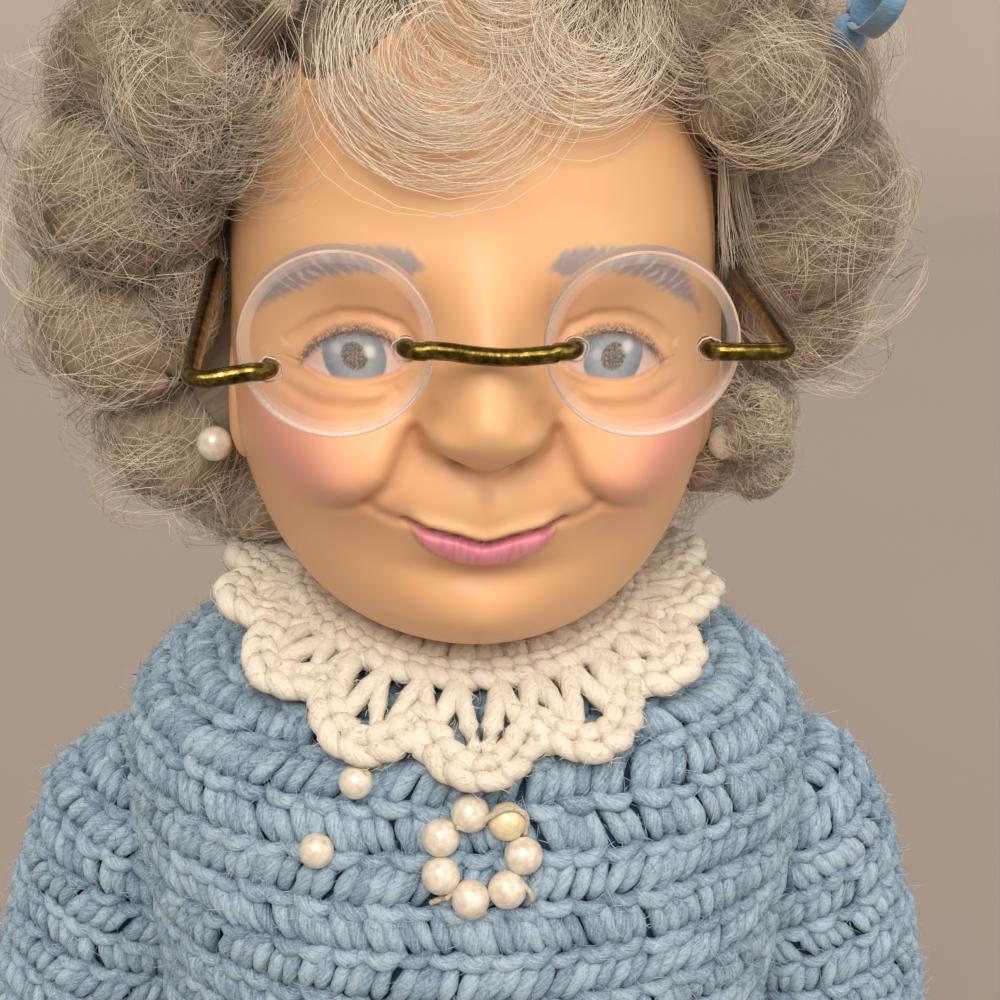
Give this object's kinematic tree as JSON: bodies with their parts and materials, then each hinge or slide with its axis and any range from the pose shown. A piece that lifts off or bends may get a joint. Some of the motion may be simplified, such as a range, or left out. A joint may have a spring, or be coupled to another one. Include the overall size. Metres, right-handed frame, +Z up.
{
  "type": "grandmother doll",
  "caption": "Standing grandmother doll: curly-haired vinyl head with wire spectacles on a stuffed, crocheted blue dress body with lace collar; head turns, arms lift, spectacles come off.",
  "frame": {"origin": "on the floor, in the middle of the skirt's hem, under the neck", "axes": "+Z up, -Y the way the face looks, +X the doll's own left"},
  "size_m": [0.174, 0.174, 0.3856],
  "materials": {
    "vinyl": "painted soft vinyl, satin",
    "hair": "curled mohair, grey with fair tips",
    "satin": "narrow satin ribbon",
    "clear_plastic": "clear polished discs",
    "brass_wire": "darkened polished wire",
    "pearl": "pearl lustre",
    "yellow_pearl": "yellowed pearl lustre",
    "thread": "twisted sewing thread",
    "cream_yarn": "fine crocheted lace",
    "fibrefill": "loose polyester filling",
    "board": "stiff plain board",
    "blue_yarn": "crocheted woolly yarn"
  },
  "bodies": {
    "torso": {"base_board": "board", "base_disc": "blue_yarn", "bodice": "blue_yarn", "body_stuffing": "fibrefill", "brooch_pearl_1": "pearl", "brooch_pearl_2": "yellow_pearl", "brooch_pearl_3": "pearl", "brooch_pearl_4": "pearl", "brooch_pearl_5": "pearl", "brooch_pearl_6": "pearl", "brooch_pearl_7": "pearl", "brooch_thread": "thread", "lace_collar": "cream_yarn", "neck_tie": "blue_yarn", "single_pearl_1": "pearl", "single_pearl_2": "pearl", "skirt": "blue_yarn"},
    "head": {"hair_back": "hair", "hair_crown": "hair", "hair_fringe": "hair", "hair_left": "hair", "hair_right": "hair", "head_shell": "vinyl", "left_earring": "pearl", "ribbon_knot": "satin", "ribbon_loop_lower": "satin", "ribbon_loop_upper": "satin", "ribbon_tail_lower": "satin", "ribbon_tail_upper": "satin", "right_earring": "pearl"},
    "spectacles": {"bridge_wire": "brass_wire", "left_lens": "clear_plastic", "left_temple_wire": "brass_wire", "right_lens": "clear_plastic", "right_temple_wire": "brass_wire"},
    "left_arm": {"left_sleeve": "blue_yarn", "left_arm_stuffing": "fibrefill", "left_hand": "vinyl"},
    "right_arm": {"right_sleeve": "blue_yarn", "right_arm_stuffing": "fibrefill", "right_hand": "vinyl"}
  },
  "joints": [
    {"name": "head_turn", "type": "hinge", "parent": "torso", "child": "head", "pos_m": [0, 0, 0.256], "axis": [0, 0, 1], "range_deg": [-90, 90]},
    {"name": "left_arm_lift", "type": "hinge", "parent": "torso", "child": "left_arm", "pos_m": [0.054, 0.004, 0.213], "axis": [0, -1, 0], "range_deg": [0, 60]},
    {"name": "right_arm_lift", "type": "hinge", "parent": "torso", "child": "right_arm", "pos_m": [-0.054, 0.004, 0.213], "axis": [0, 1, 0], "range_deg": [0, 60]},
    {"name": "spectacles_slide", "type": "slide", "parent": "head", "child": "spectacles", "axis": [0, -1, 0], "range_m": [0, 0.06]}
  ]
}
